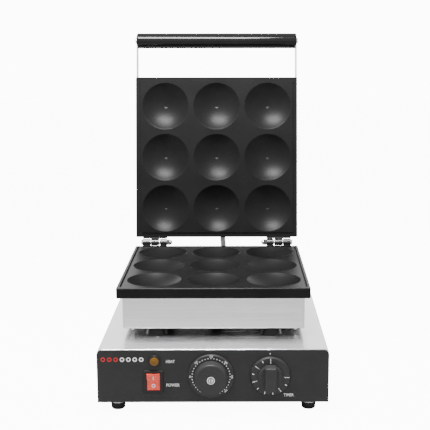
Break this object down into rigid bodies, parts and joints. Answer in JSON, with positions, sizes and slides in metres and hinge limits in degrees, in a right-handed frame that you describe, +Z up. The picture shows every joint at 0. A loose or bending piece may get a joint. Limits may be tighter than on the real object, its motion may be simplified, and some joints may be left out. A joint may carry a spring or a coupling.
{
  "type": "donut maker",
  "caption": "Counter-top donut maker: hinged lid and lower unit with matching cast cavity plates, on a steel base with switch, pilot lamp, thermostat and timer dials.",
  "frame": {"origin": "on the table, under the centre of the whole object's box with the lid open at its stop", "axes": "+Z up; the control panel faces -Y; +X to the right as seen by a person who faces the panel"},
  "size_m": [0.3136, 0.4526, 0.5037],
  "materials": {
    "brushed_steel": "brushed, grain along X, semi-gloss",
    "bright_steel": "polished stainless fixings and bars",
    "galvanised_sheet": "matt zinc-plated sheet",
    "foot_rubber": "matt black rubber",
    "grommet_rubber": "matt black rubber",
    "panel_paint": "satin dark grey powder coat",
    "black_plastic": "fine-textured black plastic",
    "knob_plastic": "dark grey moulded plastic",
    "gloss_black": "glossy black phenolic",
    "red_plastic": "translucent red plastic",
    "amber_lens": "amber plastic lens, unlit",
    "neon_glass": "clear glass",
    "badge_white": "satin white",
    "white_ceramic": "glazed off-white ceramic",
    "copper_line": "bare copper",
    "brass_fitting": "turned brass",
    "wire_sleeving": "glass-fibre sleeving",
    "conduit_steel": "wound metal conduit",
    "cast_nonstick": "dark satin nonstick coating on cast aluminium",
    "element_sheath": "heat-tinted steel sheath",
    "mineral_wool": "mineral wool pad",
    "hinge_steel": "black oxide steel with bright worn edges"
  },
  "bodies": {
    "base": {"base_shell": "brushed_steel", "rear_panel": "brushed_steel", "rear_screws": "bright_steel", "bottom_plate": "galvanised_sheet", "rubber_feet": "foot_rubber", "foot_spacers": "galvanised_sheet", "foot_screws": "bright_steel", "control_panel": "panel_paint", "power_switch_housing": "black_plastic", "pilot_lamp_body": "black_plastic", "pilot_lamp_lens": "amber_lens", "pilot_lamp_bulb": "neon_glass", "thermostat_body": "white_ceramic", "timer_body": "galvanised_sheet", "thermostat_capillary": "copper_line", "terminal_block": "white_ceramic", "earth_stud": "brass_fitting", "mains_gland": "black_plastic", "wiring_loom": "wire_sleeving", "heater_leads": "wire_sleeving", "wiring_sleeve": "black_plastic", "conduit_grommet": "grommet_rubber", "conduit": "conduit_steel", "standoffs": "gloss_black", "standoff_screws": "bright_steel", "lower_housing": "brushed_steel", "lower_plate": "cast_nonstick", "lower_heating_element": "element_sheath", "lower_element_terminals": "white_ceramic", "lower_element_clamp": "galvanised_sheet", "lower_insulation": "mineral_wool", "plate_studs": "bright_steel", "hinge_bracket_right": "hinge_steel", "hinge_bracket_left": "hinge_steel", "hinge_bracket_screws": "bright_steel", "hinge_pins": "bright_steel", "hinge_pin_nuts": "bright_steel"},
    "power_rocker": {"power_rocker": "red_plastic"},
    "thermostat_dial": {"thermostat_knob": "knob_plastic", "thermostat_knob_badge": "badge_white", "thermostat_shaft": "brass_fitting"},
    "timer_dial": {"timer_knob": "knob_plastic", "timer_shaft": "brass_fitting"},
    "lid": {"upper_plate": "cast_nonstick", "upper_heating_element": "element_sheath", "upper_element_terminals": "white_ceramic", "upper_element_clamp": "galvanised_sheet", "upper_insulation": "mineral_wool", "lid_cover": "brushed_steel", "lid_studs": "bright_steel", "lid_hinge_leaf_right": "hinge_steel", "lid_hinge_leaf_left": "hinge_steel", "lid_hinge_screws": "bright_steel", "lid_gland": "black_plastic", "handle_arm_right": "bright_steel", "handle_arm_left": "bright_steel", "arm_screws": "bright_steel", "handle_grip": "gloss_black", "handle_rod": "bright_steel", "handle_end_screws": "bright_steel"}
  },
  "joints": [
    {"name": "lid_hinge", "type": "hinge", "parent": "base", "child": "lid", "pos_m": [0, 0.11671, 0.1628], "axis": [1, 0, 0], "range_deg": [0, 100.2], "deforming": ["conduit"]},
    {"name": "power_rocker_tilt", "type": "hinge", "parent": "base", "child": "power_rocker", "pos_m": [-0.0796, -0.20629, 0.0439], "axis": [1, 0, 0], "range_deg": [-14, 0]},
    {"name": "thermostat_turn", "type": "hinge", "parent": "base", "child": "thermostat_dial", "pos_m": [-0.0024, -0.20729, 0.0521], "axis": [0, 1, 0], "range_deg": [-135, 135]},
    {"name": "timer_turn", "type": "hinge", "parent": "base", "child": "timer_dial", "pos_m": [0.0768, -0.20729, 0.0517], "axis": [0, 1, 0], "range_deg": [0, 268]}
  ]
}
